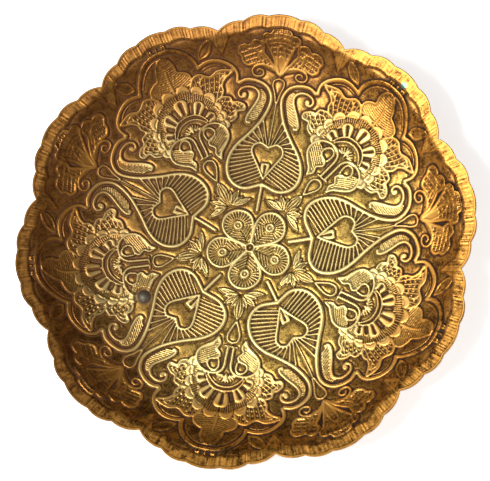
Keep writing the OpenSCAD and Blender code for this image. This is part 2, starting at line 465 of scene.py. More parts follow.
VOLUTE = curve([
    (1.5, 55.2), (1.6, 61), (1.8, 66), (3.6, 69), (7, 70.4), (11.5, 70), (15.3, 67.6), (17, 63.6),
    (16, 59.6), (12.6, 56.4), (9, 53.8), (7.2, 50.8),
])
VOLUTE_IN = curve([
    (7.2, 50.8), (5.8, 54), (7, 57), (4.8, 59.8), (6, 62.2), (9.6, 63.4), (10.6, 66), (8.8, 68.4),
    (6.2, 68.6), (4.6, 66.6), (4.9, 63),
])


def about_flower(turn, r):
    """A point at an angle from the flower's axis and a distance from its heart."""
    return r * sin(radians(turn)), FLOWER_Y + r * cos(radians(turn))


def draw_side_leaves(g):
    for line in SIDE_LEAVES:
        ids, deep = g.plate(line, 0.8, 0.8)
        turn, r = g.about(ids, FLOWER_Y)
        m = deep > 0.7
        g.hatch(ids, m, turn + r * 0.8, 5.6, 1.1)
        g.hatch(ids, m, turn - r * 3.0, 9.0, 0.7)
        g.ridge(line, 1.8, 1.1)
        g.ridge(line * 0.62 + line.mean(0) * 0.38, 1.0, 0.95)


FLUTES = [(11.3, 21.3, 4.3), (31, 20.9, 4.3), (51, 20.4, 4.1), (68, 18.9, 3.7), (84, 18.2, 3.5),
          (101, 17.6, 3.4)]


def draw_fluted_petals(g):
    """Petals of two round lobes, cut with deep flutes where they come out of the flower."""
    for turn, r, size in FLUTES[::-1]:
        x, y = about_flower(turn, r)
        lobe = ring(0, 0, size)[:-1] * [0.96, 1.05]
        root = np.array([(size * 0.62, -5.5), (-size * 0.62, -5.5)])
        outline = np.concatenate([lobe[:13], [(-size * 0.9, -1.5)], root[::-1], [(size * 0.9, -1.5)]])
        outline = placed(outline, x, y, turn)
        g.clear(outline)
        ids, deep = g.plate(outline, 0.95, 0.8)
        angle, from_heart = g.about(ids, FLOWER_Y)
        m = (deep > 0) & (from_heart < r + 0.6 - 0.02 * turn)
        g.hatch(ids, m, angle - turn, 3.5, 1.0)
        g.groove(placed([(-size * 0.5, 0.4), (0, 1.0), (size * 0.5, 0.4)], x, y, turn), 0.8, 0.35)


LOOPS = [(0, 10.2, 8.6, 8.8), (38, 9.9, 7.4, 8.0), (73, 9.4, 6.6, 6.8), (103, 9.8, 5.6, 6.0)]


def draw_looped_petals(g):
    """Tongues with a rounded end and a groove down the middle."""
    for turn, r, wide, long in LOOPS[::-1]:
        x, y = about_flower(turn, r)
        side = [(0.3, 0), (0.46, 0.45), (0.5, 0.75), (0.32, 0.97), (0, 1.04)]
        half = curve([(wide * a, long * b) for a, b in side])
        outline = placed(mirrored(half)[:-1], x, y, turn)
        g.clear(outline)
        g.plate(outline, 1.0, 1.3)
        middle = placed([(0, long * 0.12), (0, long * 0.5), (0, long * 0.72)], x, y, turn)
        g.groove(middle, wide * 0.28, 0.95, (0.7, 1.1))


def draw_flower_heart(g):
    """Two crescent ridges over a dark hollow with stamens and a drop."""
    g.clear(mirrored(curve([(0, 80), (5, 79), (9, 75.6), (10.6, 71.6), (0, 67)])))
    g.ridge(curve([(0, 79.6), (4.8, 78.7), (8.4, 75.8), (10.2, 72.2)]), 1.3, 1.05)
    g.ridge(curve([(0, 77.2), (3.8, 76.5), (7, 74.3), (9.2, 71.6)]), 1.4, 0.95, (1, 0.8))
    for turn in (17, 36, 54, 70):
        g.ridge(placed([(0, 2.0), (0, 5.0)], 0, FLOWER_Y - 0.6, turn), 1.1, 0.9, (0.7, 1.2))
    drop = curve([(0, 68.6), (1.3, 71.4), (1.2, 73.4), (0, 75.4)])
    g.plate(mirrored(drop)[:-1], 1.0, 0.8)


def draw_volutes(g):
    whole = np.concatenate([VOLUTE, VOLUTE_IN])
    g.clear(whole)
    ids, deep = g.plate(np.concatenate([VOLUTE[30:], VOLUTE_IN[:31]]), 0.8, 0.6)
    m = (deep > 0.3) & (g.y[ids] < 66.5)
    g.hatch(ids, m, g.y[ids] * 0.8 - g.x[ids] * 0.5, 1.9, 1.0)
    g.ridge(VOLUTE, 2.1, 1.08, (0.85, 1))
    g.ridge(VOLUTE_IN, 1.6, 0.98)
    g.ridge(np.array([(0, 54.8), (3.2, 54.8)]), 1.2, 0.9)
    g.groove(np.array([(0, 57), (0, 64)]), 1.0, 0.4)


def draw_arches(g):
    g.ridge(ARCH_MID, 2.4, 1.05)
    g.ridge(ARCH_SIDE, 2.4, 1.05)
    g.ridge(curve([(0, 111.2), (5, 110.7), (9.2, 108.8), (12.6, 105.6), (14.8, 101.6)]), 0.8, 0.35)
    g.ridge(curve([(19, 97.6), (22, 97.9), (26, 97.2), (29.8, 94.8), (32.6, 91.2), (33.2, 88)]),
            0.8, 0.4)


def draw_medallion(g):
    draw_arches(g)
    draw_side_leaves(g)
    whole = mirrored(TOP_BUD)[:-1]
    ids, deep = g.plate(whole, 0.8, 0.8)
    m = deep > 0.8
    g.hatch(ids, m, g.y[ids] - 0.02 * g.x[ids] ** 2, 2.2, 1.1)
    g.ridge(TOP_BUD, 1.5, 0.95)
    g.ridge(np.array([(0, 92), (0, 103.8)]), 1.5, 0.95, (1.1, 0.7))
    draw_fluted_petals(g)
    draw_looped_petals(g)
    draw_flower_heart(g)
    draw_volutes(g)


print("medallion has", len(FLUTES) * 2, "fluted lobes and", len(LOOPS) * 2 - 1, "looped petals")

# %% [markdown]
# ## Small leaves, drops and stems
#
# The gaps hold smaller work: a spray of thin pointed leaves where two hearts meet, a drop above
# it, a small leaf in each spandrel and a beaded arc over the middle arch.

# %% Strokes that fill the gaps
SPRAY = [(0, 14.2, 5.6, 3), (30, 8.2, 3.0, 1), (56, 10.2, 3.4, 2), (80, 9.0, 2.8, 1), (98, 12.6, 3.2, 2)]


def draw_leaf(g, x, y, turn, long, wide, veins):
    """A pointed leaf from its foot at (x, y), with fine grooves along it."""
    half = curve([(0, 0), (wide * 0.34, long * 0.25), (wide * 0.5, long * 0.58),
                  (wide * 0.34, long * 0.8), (0, long)])
    g.plate(placed(mirrored(half)[:-1], x, y, turn), 0.85, 0.6)
    for v in range(veins):
        k = (v - (veins - 1) / 2) * wide * 0.32
        line = [(k * 0.3, long * 0.06), (k, long * 0.5), (k * 0.5, long * 0.85)]
        g.groove(placed(line, x, y, turn), 0.65, 0.65)


def draw_gap_work(g):
    for turn, long, wide, veins in SPRAY[::-1]:
        draw_leaf(g, 0.3 * sin(radians(turn)), 26.2, turn, long, wide, veins)
    g.ridge(curve([(0.2, 41), (2, 45), (3.1, 48.6), (2.5, 51.6), (0, 52.8)]), 1.5, 0.95)
    lens = curve([(19.6, 102.6), (21.2, 106), (25, 108), (29.4, 108.2), (27.6, 104.6),
                  (24, 102.4), (19.6, 102.6)])
    g.plate(lens, 0.35, 0.6)
    g.ridge(lens, 1.3, 0.85)
    g.ridge(np.array([(20.4, 103.2), (26.5, 106.4)]), 0.9, 0.7, (1, 0.5))
    g.ridge(curve([(5, 115.2), (4.4, 117), (2, 118.1), (0, 118.3)]), 1.2, 0.85)
    g.ridge(ring(3.4, 115.9, 0.3), 1.4, 0.8)
    g.ridge(np.array([(0, 115.8), (0, 116.4)]), 1.4, 0.75)


print("a spray has", len(SPRAY) * 2 - 1, "leaves")

# %% [markdown]
# ## The middle flower
#
# Five round petals meet at a small boss. Each petal has a rim that runs straight in at its sides,
# an eye with a dot, short strokes round the eye's outer half and a herringbone towards the boss.

# %% Strokes of the middle flower
PETAL = curve([
    (0, 22.9), (3.2, 22.3), (6.1, 20.4), (8, 17.4), (8.2, 14), (7, 10.6), (5, 7.4), (3, 4.4), (1.7, 2.6),
])
EYE_Y = 15.0


def draw_petal(g):
    outline = mirrored(PETAL)[:-1]
    ids, deep = g.plate(outline, 0.35, 0.4)
    angle, r = g.about(ids, EYE_Y)
    fan = (deep > 1) & (r > 3.2) & (np.abs(angle) < 118)
    bone = (deep > 1) & (r > 3.2) & (np.abs(angle) >= 118)
    g.up[ids[fan]] = 0.1 + 0.85 * wave(angle[fan], 14.4)
    slant = g.y[ids] - EYE_Y - np.abs(g.x[ids]) * 0.75
    g.up[ids[bone]] = 0.1 + 0.8 * wave(slant[bone], 1.7)
    g.ridge(PETAL, 2.1, 1.1)
    g.groove(np.array([(0, 4.5), (0, 11.6)]), 0.9, 0.4)
    g.ridge(ring(0, EYE_Y, 1.9), 1.8, 1.1)
    g.ridge(ring(0, EYE_Y, 0.15), 1.3, 0.95)


def draw_boss(g):
    g.clear(ring(0, 0, 3.0)[:-1])
    g.ridge(ring(0, 0, 2.3), 1.4, 1.15)
    g.ridge(ring(0, 0, 0.15), 1.2, 0.8)


print("petal reaches", PETAL[:, 1].max(), "mm from the middle")

# %% [markdown]
# ## The band along the edge
#
# A flat band follows the scallops, about a millimetre higher than the ground. Faint file strokes
# run across its width, and it sends a tongue in at each notch between two lobes. Its last
# millimetre is a low rounded bead that hands have kept bright.

# %% The edge band
BAND_W = 7.5
BAND_H = 0.8
BAND_SIDE_W = 1.3
TONGUE_L = 4.5
TONGUE_W = 9.0


def band_height(x, y):
    """Height of the band above the ground, and how far inside its inner border each point is."""
    turn = np.degrees(np.arctan2(x, y))
    r = np.hypot(x, y)
    from_edge = edge_radius(turn) - r
    from_notch = np.abs((turn % LOBE_STEP) - LOBE_STEP / 2)
    aside = radians(1) * from_notch * r
    tongue = TONGUE_L * np.clip(1.15 - 2 * aside / TONGUE_W, 0, 1) ** 0.8
    inside = BAND_W + tongue - from_edge
    rise = np.clip(inside / BAND_SIDE_W, 0, 1)
    rise = rise * rise * (3 - 2 * rise)
    uneven_turn = turn + 0.45 * np.sin(turn * 3.1) + 0.3 * np.sin(turn * 7.7)
    strokes = (0.06 + 0.14 * wave(turn, 5.3)) * wave(uneven_turn, 0.95) * (from_edge > 1.3)
    bead = 0.14 * np.clip(1 - ((from_edge - 0.75) / 0.6) ** 2, 0, 1)
    return (BAND_H * rise + 0.1) * (1 - strokes) + bead + 0.1, inside


print("band is", BAND_W, "mm wide, with tongues of", TONGUE_L, "mm")

# %% [markdown]
# ## One pattern for the whole tray
#
# The design repeats five times, and each fifth is the same on both sides of its heart. So the
# strokes are carved once, on a fine grid that covers half a fifth, like a moulder's pattern
# block. Any point of the tray is folded into that wedge to look its height up. Blurred copies
# of the grid tell how much lower a point is than what surrounds it, which is where dirt stays.

# %% Carve the pattern block
GRID = 0.2
GRID_MARGIN = 6.0
TRENCH = 0.45
TRENCH_W = 0.7


def fold(x, y):
    """Brings any point into the wedge beside the heart's axis."""
    turn = np.degrees(np.arctan2(x, y))
    turn = np.radians(np.abs((turn + LOBE_STEP) % (2 * LOBE_STEP) - LOBE_STEP))
    r = np.hypot(x, y)
    return r * np.sin(turn), r * np.cos(turn)


grid_x = np.arange(-GRID_MARGIN, TRAY_R * sin(radians(LOBE_STEP)) + GRID_MARGIN, GRID)
grid_y = np.arange(-GRID_MARGIN, TRAY_R + GRID_MARGIN, GRID)
block_x, block_y = [v.ravel() for v in np.meshgrid(grid_x, grid_y)]
heart_x, heart_y = fold(block_x, block_y)
wanted = np.hypot(block_x - heart_x, block_y - heart_y) < 1.6 * GRID_MARGIN
heart_x, heart_y = heart_x[wanted], heart_y[wanted]
turn_m = radians(LOBE_STEP) - np.arctan2(heart_x, heart_y)
dist = np.hypot(heart_x, heart_y)
hearts = Ground(heart_x, heart_y)
flowers = Ground(dist * np.sin(turn_m), dist * np.cos(turn_m))
for draw in (draw_curled_leaf, draw_heart, draw_palmette, draw_boss):
    draw(hearts)
for draw in (draw_petal, draw_medallion, draw_gap_work):
    draw(flowers)
band, band_inside = band_height(heart_x, heart_y)


def levels(g):
    """Height of what was carved: raised work less its grooves, in a shallow trench."""
    trench = TRENCH * np.exp(-np.clip(g.gap, 0, None) / TRENCH_W) * (g.gap > 0) * (g.up <= 0)
    return g.up - np.minimum(g.cut, g.up + 0.25), trench


heart_level, heart_trench = levels(hearts)
flower_level, flower_trench = levels(flowers)
carved = np.where(flowers.up > hearts.up, flower_level, heart_level)
trench = np.maximum(heart_trench, flower_trench) * ((hearts.up <= 0) & (flowers.up <= 0))
block = np.zeros(len(block_x))
block[wanted] = np.where(band_inside > 0, band, carved - trench)
block = block.reshape(len(grid_y), len(grid_x))
print("pattern block of", int(wanted.sum()), "points, from", round(block.min(), 2), "to",
      round(block.max(), 2), "mm")


# %% Blurred copies of the block
def blurred(field, size):
    """The field blurred by a bell curve of this size in mm, along one axis and then the other."""
    reach = int(3 * size / GRID)
    bell = np.exp(-0.5 * (np.arange(-reach, reach + 1) * GRID / size) ** 2)
    bell /= bell.sum()
    for axis in (0, 1):
        field = np.apply_along_axis(lambda row: np.convolve(row, bell, mode="same"), axis, field)
    return field


block_soft = blurred(block, 1.0)
block_wide = blurred(block, 3.0)
block_fine = blurred(block, 0.18)
print("blurred blocks reach", round(block_soft.max(), 2), "and", round(block_wide.max(), 2), "mm")


def look_up(field, x, y):
    """The field's value at any points, between the four nearest of the grid."""
    fx, fy = fold(x, y)
    col = np.clip((fx - grid_x[0]) / GRID, 0, len(grid_x) - 1.001)
    row = np.clip((fy - grid_y[0]) / GRID, 0, len(grid_y) - 1.001)
    i, j = row.astype(int), col.astype(int)
    v, u = row - i, col - j
    low = field[i, j] * (1 - u) + field[i, j + 1] * u
    high = field[i + 1, j] * (1 - u) + field[i + 1, j + 1] * u
    return low * (1 - v) + high * v


# %% [markdown]
# ## The blank
#
# The carving needs about 1.7 million triangles in all, so the casting is made as ten equal
# wedges, from the axis of a heart to the axis of a flower, where the design mirrors itself and
# no joint can show. Each starts as a flat wedge: an outline of rows across the section, turned
# through 36 degrees by spin. Its upper face is at height 1, its lower face at -1, and the rows
# between are the edge, so that the height says later which face a point belongs to.

# %% Spin a flat wedge
ROW_STEP = 0.36
COLUMNS = 208
UNDER_STEP = 2.5
EDGE_LEVELS = (0.8, 0.6, 0.4, 0.0, -0.5, -0.8)
top_rows = np.linspace(0, TRAY_R, int(TRAY_R / ROW_STEP))
under_rows = np.linspace(TRAY_R, 0, int(TRAY_R / UNDER_STEP))
outline = [(r, 1.0) for r in top_rows] + [(TRAY_R, z) for z in EDGE_LEVELS]
outline += [(r, -1.0) for r in under_rows]

bm = bmesh.new()
row_verts = [bm.verts.new((0, r, z)) for r, z in outline]
row_edges = [bm.edges.new(pair) for pair in zip(row_verts, row_verts[1:] + row_verts[:1])]
spun = bmesh.ops.spin(
    bm, geom=row_verts + row_edges, axis=(0, 0, 1), cent=(0, 0, 0),
    angle=-radians(LOBE_STEP), steps=COLUMNS, use_merge=False, use_duplicate=False,
)
last_edges = [e for e in spun["geom_last"] if isinstance(e, bmesh.types.BMEdge)]
for side in (row_edges, last_edges):
    bmesh.ops.contextual_create(bm, geom=side)
bmesh.ops.remove_doubles(bm, verts=bm.verts, dist=1e-5)
bmesh.ops.recalc_face_normals(bm, faces=bm.faces)
wedge = bpy.data.meshes.new("flat_wedge")
bm.to_mesh(wedge)
bm.free()
print("wedge has", len(wedge.vertices), "vertices and", len(wedge.polygons), "faces")

# %% [markdown]
# ## Raising the wedge
#
# Each wedge is turned to its place and its points are moved. Points outside 95 mm are stretched
# to meet the scallops, upper points go to the bowl's height plus the carving, and lower points go
# to the underside. No two repeats of a hand-carved pattern are alike, so the pattern is pushed
# about by half a millimetre or so in slow waves, and a little unevenness is left in the ground.

# %% Slow waves for a hand-made look
rng = np.random.default_rng(7)
wave_sets = {name: [(rng.uniform(0, 2 * pi), rng.uniform(0.7, 1.3), rng.uniform(0, 2 * pi))
                    for _ in range(7)] for name in ("x", "y", "level")}


def slow_waves(name, x, y, length):
    """Smooth random values about 0, with waves of this length in mm."""
    total = 0
    for heading, stretch, start in wave_sets[name]:
        along = x * cos(heading) + y * sin(heading)
        total = total + np.sin(2 * pi * along / (length * stretch) + start)
    return total / sqrt(len(wave_sets[name]))


# %% Move a wedge's points to the tray's shape
STRETCH_R = 95.0
PUSH = 0.55
FLUSH_R = 3.4
DOME_R = 4.4
GROUND_LIFT = 0.07
PUSH_WAVE = 46
PUSH_END_R = 104
FOLLOW_R, FOLLOW_W = 98, 12
GROUND_END_R = 118
LEVEL, LEVEL_WAVE = 0.05, 18
GRAIN = 0.018
# From the lower face, at -1, round the edge to the upper, at 1: how far the edge is rounded in,
# in mm, and the share of the way from the underside to the top
FACES = (-1, -0.8, -0.5, 0.4, 0.6, 0.8, 1)
INSETS = (0.5, 0.15, 0, 0, 0.06, 0.22, 0.5)
SHARES = (0, 0.05, 0.2, 0.8, 0.9, 0.97, 1)


def carve(x, y):
    """Height of the carving, and how hollow it is close by and over a wider reach."""
    r = np.hypot(x, y)
    fade = np.clip((PUSH_END_R - r) / 20, 0, 1) * np.clip(r / 12, 0, 1)
    px = x + PUSH * fade * slow_waves("x", x, y, PUSH_WAVE)
    py = y + PUSH * fade * slow_waves("y", x, y, PUSH_WAVE)
    turn = np.degrees(np.arctan2(px, py))
    follow = np.clip((r - FOLLOW_R) / FOLLOW_W, 0, 1)
    turn = np.radians(turn + (slipped(turn) - turn) * follow ** 2 * (3 - 2 * follow))
    px, py = np.hypot(px, py) * np.sin(turn), np.hypot(px, py) * np.cos(turn)
    high = look_up(block_fine, px, py)
    level = LEVEL * slow_waves("level", x, y, LEVEL_WAVE)
    grain = GRAIN * slow_waves("x", x, y, 1.1) * slow_waves("y", x, y, 0.9)
    hollow = look_up(block_soft, px, py) - high
    wide = look_up(block_wide, px, py) - high
    for number, axis in enumerate(rivet_axes):
        away = np.hypot(x - axis.x, y - axis.y)
        if number == 0:
            flat = np.clip((away - DOME_R) / 1.2, 0, 1)
            high = high * flat
            hollow = hollow * flat + 0.35 * (1 - flat)
        high = np.where(away < FLUSH_R, np.maximum(high, 0.02), high)
    low_ground = (high < 0.15) * np.clip((GROUND_END_R - r) / 6, 0, 1)
    return high + (level + grain) * low_ground, hollow, wide


def raise_points(flat):
    """Final places of the wedge's points, with the carving's height and hollows."""
    x, y, face = flat.T
    r = np.hypot(x, y)
    turn = np.degrees(np.arctan2(x, y))
    edge = edge_radius(slipped(turn))
    reach = np.clip((r - STRETCH_R) / (TRAY_R - STRETCH_R), 0, 1)
    new_r = np.where(r > STRETCH_R, STRETCH_R + reach * (edge - STRETCH_R), r)
    new_r = np.where(r > TRAY_R - 1e-3, new_r - np.interp(face, FACES, INSETS), new_r)
    scale = new_r / np.maximum(r, 1e-9)
    x, y = x * scale, y * scale
    high, hollow, wide = carve(x, y)
    top = bowl(new_r) + dish(new_r) + high + GROUND_LIFT
    low = underside(new_r)
    z = low + (top - low) * np.interp(face, FACES, SHARES)
    on_top = face > 0.3
    values = [np.where(on_top, v, 0) for v in (high, hollow, wide)]
    return np.stack([x, y, z + FLOOR_Z], 1) * MM, values


def finish_wedge(mesh):
    """Triangulates the cut sides, smooths all but their borders and counts the open edges."""
    work = bmesh.new()
    work.from_mesh(mesh)
    caps = [f for f in work.faces if len(f.verts) > 4]
    rim = {e for f in caps for e in f.edges}
    for edge in rim:
        edge.smooth = False
    for face in work.faces:
        face.smooth = True
    bmesh.ops.triangulate(work, faces=caps)
    open_edges = sum(not e.is_manifold for e in work.edges)
    work.to_mesh(mesh)
    work.free()
    return open_edges


def new_object(name, data):
    """An object that shows a mesh, a light or a camera, in the scene."""
    made = bpy.data.objects.new(name, data)
    bpy.context.scene.collection.objects.link(made)
    return made


tray_pieces = []
open_edges = 0
blank = np.empty(len(wedge.vertices) * 3)
wedge.vertices.foreach_get("co", blank)
blank = blank.reshape(-1, 3)
for number in range(LOBES):
    mesh = wedge.copy()
    mesh.name = f"tray_wedge_{number + 1:02d}"
    turn = radians(number * LOBE_STEP)
    flat = np.stack([blank[:, 0] * cos(turn) + blank[:, 1] * sin(turn),
                     blank[:, 1] * cos(turn) - blank[:, 0] * sin(turn), blank[:, 2]], 1)
    places, values = raise_points(flat)
    mesh.vertices.foreach_set("co", places.ravel())
    for name, value in zip(("carved", "hollow", "wide"), values):
        mesh.attributes.new(name, "FLOAT", "POINT").data.foreach_set("value", value)
    open_edges += finish_wedge(mesh)
    piece = new_object(mesh.name, mesh)
    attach(piece, "root")
    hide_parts("tray")
    tray_pieces.append(piece)
print(len(tray_pieces), "wedges of", len(mesh.polygons), "faces, open edges in all:", open_edges)

# %% [markdown]
# ## Adding nodes
#
# Every material below is a small graph of nodes. One helper adds a node, sets it up and links
# it, so that a material reads like a list. Colours are written as the hex values a painter would
# pick, and one function turns them into the linear numbers that Blender works with.

# %% Helpers for materials
def colour(text):
    """A hex colour as linear red, green, blue and full alpha."""
    parts = [int(text[i:i + 2], 16) / 255 for i in (1, 3, 5)]
    linear = [c / 12.92 if c <= 0.04045 else ((c + 0.055) / 1.055) ** 2.4 for c in parts]
    return (*linear, 1.0)


def add(tree, kind, inputs=None, **settings):
    """Adds a node, sets its properties, and fills or links its inputs."""
    made = tree.nodes.new(kind)
    for name, value in settings.items():
        setattr(made, name, value)
    for name, value in (inputs or {}).items():
        if isinstance(value, bpy.types.NodeSocket):
            tree.links.new(value, made.inputs[name])
        else:
            made.inputs[name].default_value = value
    return made


def start_material(name):
    """An empty material with its shader, and the object's own coordinates."""
    material = bpy.data.materials.new(name)
    material.use_nodes = True
    tree = material.node_tree
    tree.nodes.clear()
    shader = add(tree, "ShaderNodeBsdfPrincipled")
    add(tree, "ShaderNodeOutputMaterial", {"Surface": shader.outputs["BSDF"]})
    place = add(tree, "ShaderNodeTexCoord").outputs["Object"]
    return material, tree, shader, place


print("a middle grey, linear:", [round(v, 3) for v in colour("#808080")[:3]])

# %% [markdown]
# ## Cast brass with its patina
#
# The casting is yellow brass that was pickled and hand rubbed. High places are bare metal with a
# soft shine. Hollows keep a dark brown film of oxide and old polish, which is dull and hardly
# metallic. The middle of the dish is paler, and the wall outside the flowers is darker and warmer
# orange-brown: partly tarnish, partly painted shade of the tilted wall. One side is darker brown
# again, partly tarnish and partly painted shade. The attributes carved, hollow and wide, stored
# with each point, say where metal is worn and where dirt stays, so the patina follows them.

# %% Cast brass
cast_brass, tree, shader, place = start_material("cast_brass_with_patina")
carved, hollow, wide = [add(tree, "ShaderNodeAttribute", attribute_name=name).outputs["Fac"]
                        for name in ("carved", "hollow", "wide")]

# Patches of a few centimetres, where more or less patina was left
patches = add(tree, "ShaderNodeTexNoise", {
    "Vector": place, "Scale": 38.0, "Detail": 4.0, "Roughness": 0.6}).outputs["Fac"]
# Grains of about 1 mm from the moulding sand
sand = add(tree, "ShaderNodeTexNoise", {
    "Vector": place, "Scale": 1100.0, "Detail": 3.0, "Roughness": 0.65}).outputs["Fac"]

# Distance from the middle, for the change of tone on the wall, partly tarnish and partly painted shade
flat_place = add(tree, "ShaderNodeVectorMath", {0: place, 1: (1, 1, 0)}, operation="MULTIPLY")
from_middle = add(tree, "ShaderNodeVectorMath", {
    0: flat_place.outputs["Vector"]}, operation="LENGTH").outputs["Value"]
edge_of_rub = add(tree, "ShaderNodeMath", {
    0: patches, 1: 0.05, 2: from_middle}, operation="MULTIPLY_ADD").outputs[0]
# Towards the wall the tone turns darker and warmer: partly tarnish, partly painted shade of the tilted
# wall
outer = add(tree, "ShaderNodeMapRange", {
    "Value": edge_of_rub, "From Min": 0.091, "From Max": 0.131},
    interpolation_type="SMOOTHSTEP").outputs["Result"]

# Bare metal, ground, its dark specks and oxide, each paler in the middle and darker and warmer outside,
# where the tone is partly tarnish and partly painted shade.
# In a colour Mix node the inputs 6 and 7 are its two colours, and output 2 is the result.
TONES = (("#ecd690", "#eaa94c"), ("#b8974c", "#b07a34"), ("#6c5122", "#553312"), ("#4a3216", "#2e180a"))
bare, ground, ground_dark, oxide = [
    add(tree, "ShaderNodeMix", {0: outer, 6: colour(a), 7: colour(b)}, data_type="RGBA").outputs[2]
    for a, b in TONES]
# Blotches of about 4 mm, where the pickle bit unevenly
blotch = add(tree, "ShaderNodeTexNoise", {
    "Vector": place, "Scale": 260.0, "Detail": 3.0, "Roughness": 0.7}).outputs["Fac"]
both = add(tree, "ShaderNodeMath", {0: blotch, 1: sand}, operation="ADD").outputs[0]
speck = add(tree, "ShaderNodeMapRange", {
    "Value": both, "From Min": 1.12, "From Max": 0.86}).outputs["Result"]
ground = add(tree, "ShaderNodeMix", {
    0: speck, 6: ground, 7: ground_dark}, data_type="RGBA").outputs[2]
above = add(tree, "ShaderNodeMath", {0: hollow, 1: 1.5, 2: 0.02}, operation="MULTIPLY_ADD").outputs[0]
above = add(tree, "ShaderNodeMath", {0: above, 1: wide}, operation="MINIMUM").outputs[0]
proud = add(tree, "ShaderNodeMapRange", {
    "Value": above, "From Min": -0.08, "From Max": -0.45}).outputs["Result"]
bead = add(tree, "ShaderNodeMapRange", {
    "Value": carved, "From Min": 0.45, "From Max": 0.9}).outputs["Result"]
# Streaks of just over 1 mm run outwards across the band, where it was filed and then tarnished
turn_of = add(tree, "ShaderNodeSeparateXYZ", {0: place})
turn_of = add(tree, "ShaderNodeMath", {0: turn_of.outputs[0], 1: turn_of.outputs[1]}, operation="ARCTAN2")
streak = add(tree, "ShaderNodeTexNoise", {
    "W": turn_of.outputs[0], "Scale": 85.0, "Detail": 4.0, "Roughness": 0.7},
    noise_dimensions="1D").outputs["Fac"]
streak = add(tree, "ShaderNodeMath", {0: streak, 1: blotch}, operation="ADD").outputs[0]
streak = add(tree, "ShaderNodeMapRange", {
    "Value": streak, "From Min": 0.85, "From Max": 1.2, "To Max": 0.7}).outputs["Result"]
on_band = add(tree, "ShaderNodeMapRange", {
    "Value": from_middle, "From Min": 0.1, "From Max": 0.109}).outputs["Result"]
worn_band = add(tree, "ShaderNodeMix", {0: on_band, 2: 1.0, 3: streak}).outputs[0]
edge_bead = add(tree, "ShaderNodeMapRange", {
    "Value": carved, "From Min": 1.02, "From Max": 1.12}).outputs["Result"]
raised = proud
for value, how in ((bead, "MAXIMUM"), (worn_band, "MULTIPLY"), (edge_bead, "MAXIMUM")):
    raised = add(tree, "ShaderNodeMath", {0: raised, 1: value}, operation=how).outputs[0]
metal = add(tree, "ShaderNodeMix", {0: raised, 6: ground, 7: bare}, data_type="RGBA").outputs[2]

# Dirt where the surface lies below what surrounds it, more in some patches and more on the outer wall,
# where the extra darkness is partly painted shade
low = hollow
for cause, share in ((patches, 0.22), (sand, 0.16), (outer, 0.1)):
    low = add(tree, "ShaderNodeMath", {0: cause, 1: share, 2: low}, operation="MULTIPLY_ADD").outputs[0]
dirt = add(tree, "ShaderNodeMapRange", {
    "Value": low, "From Min": 0.31, "From Max": 0.71}, interpolation_type="SMOOTHSTEP").outputs["Result"]
skin = add(tree, "ShaderNodeMix", {0: dirt, 6: metal, 7: oxide}, data_type="RGBA").outputs[2]

# The brown is darker towards one side: partly tarnish, partly painted shade of the side that the light
# leaves dark
TARNISH_TURN = radians(159)
tarnish_way = Vector((cos(TARNISH_TURN), sin(TARNISH_TURN), 0))
across = add(tree, "ShaderNodeVectorMath", {
    0: place, 1: tarnish_way}, operation="DOT_PRODUCT").outputs["Value"]
across = add(tree, "ShaderNodeMath", {0: patches, 1: 0.05, 2: across}, operation="MULTIPLY_ADD").outputs[0]
tarnish = add(tree, "ShaderNodeMapRange", {
    "Value": across, "From Min": -0.01, "From Max": 0.085, "To Max": 0.6},
    interpolation_type="SMOOTHSTEP").outputs["Result"]
# Mixes in that darker brown of one side, partly tarnish and partly painted shade
skin = add(tree, "ShaderNodeMix", {
    0: tarnish, 6: skin, 7: colour("#6e4421")}, data_type="RGBA").outputs[2]

# A fleck of green verdigris on the band
SPOT_TURN = radians(54.5)
spot_r = TRAY_R * 0.95
spot_z = FLOOR_Z + float(bowl(np.array([spot_r]))[0]) + BAND_H
spot = Vector((spot_r * cos(SPOT_TURN), spot_r * sin(SPOT_TURN), spot_z)) * MM
to_spot = add(tree, "ShaderNodeVectorMath", {0: place, 1: spot}, operation="DISTANCE").outputs["Value"]
fleck = add(tree, "ShaderNodeMapRange", {
    "Value": to_spot, "From Min": 0.0022, "From Max": 0.0012}).outputs["Result"]
skin = add(tree, "ShaderNodeMix", {0: fleck, 6: skin, 7: colour("#6f9a86")}, data_type="RGBA").outputs[2]
tree.links.new(skin, shader.inputs["Base Color"])

metallic = add(tree, "ShaderNodeMapRange", {
    "Value": dirt, "To Min": 0.9, "To Max": 0.35}).outputs["Result"]
tree.links.new(metallic, shader.inputs["Metallic"])
# Hands leave fine scratches on the high places, and dirt is rougher than either
worn = add(tree, "ShaderNodeMapRange", {
    "Value": raised, "To Min": 0.3, "To Max": 0.42}).outputs["Result"]
dull = add(tree, "ShaderNodeMix", {0: dirt, 2: worn, 3: 0.62}).outputs[0]
rough = add(tree, "ShaderNodeMath", {0: sand, 1: 0.16, 2: dull}, operation="MULTIPLY_ADD").outputs[0]
tree.links.new(rough, shader.inputs["Roughness"])
bump = add(tree, "ShaderNodeBump", {"Height": sand, "Strength": 0.25, "Distance": 0.0001})
tree.links.new(bump.outputs["Normal"], shader.inputs["Normal"])
for piece in tray_pieces:
    piece.data.materials.append(cast_brass)
print(cast_brass.name, "has", len(tree.nodes), "nodes")

# %% [markdown]
# ## The feet and rivets
#
# These are turned parts, and their CAD shapes are right, so they stay and only get materials.
# The feet are plain yellow brass off the lathe, a little hazy with age. One rivet is iron that
# has gone grey-brown, with specks of dull green.

# %% Turned brass and dark rivet
turned_brass, tree, shader, place = start_material("turned_brass")
haze = add(tree, "ShaderNodeTexNoise", {"Vector": place, "Scale": 90.0, "Detail": 4.0}).outputs["Fac"]
tone = add(tree, "ShaderNodeMix", {
    0: haze, 6: colour("#a9803c"), 7: colour("#d8b468")}, data_type="RGBA").outputs[2]
tree.links.new(tone, shader.inputs["Base Color"])
shader.inputs["Metallic"].default_value = 1.0
rough = add(tree, "ShaderNodeMapRange", {
    "Value": haze, "To Min": 0.28, "To Max": 0.5}).outputs["Result"]
tree.links.new(rough, shader.inputs["Roughness"])

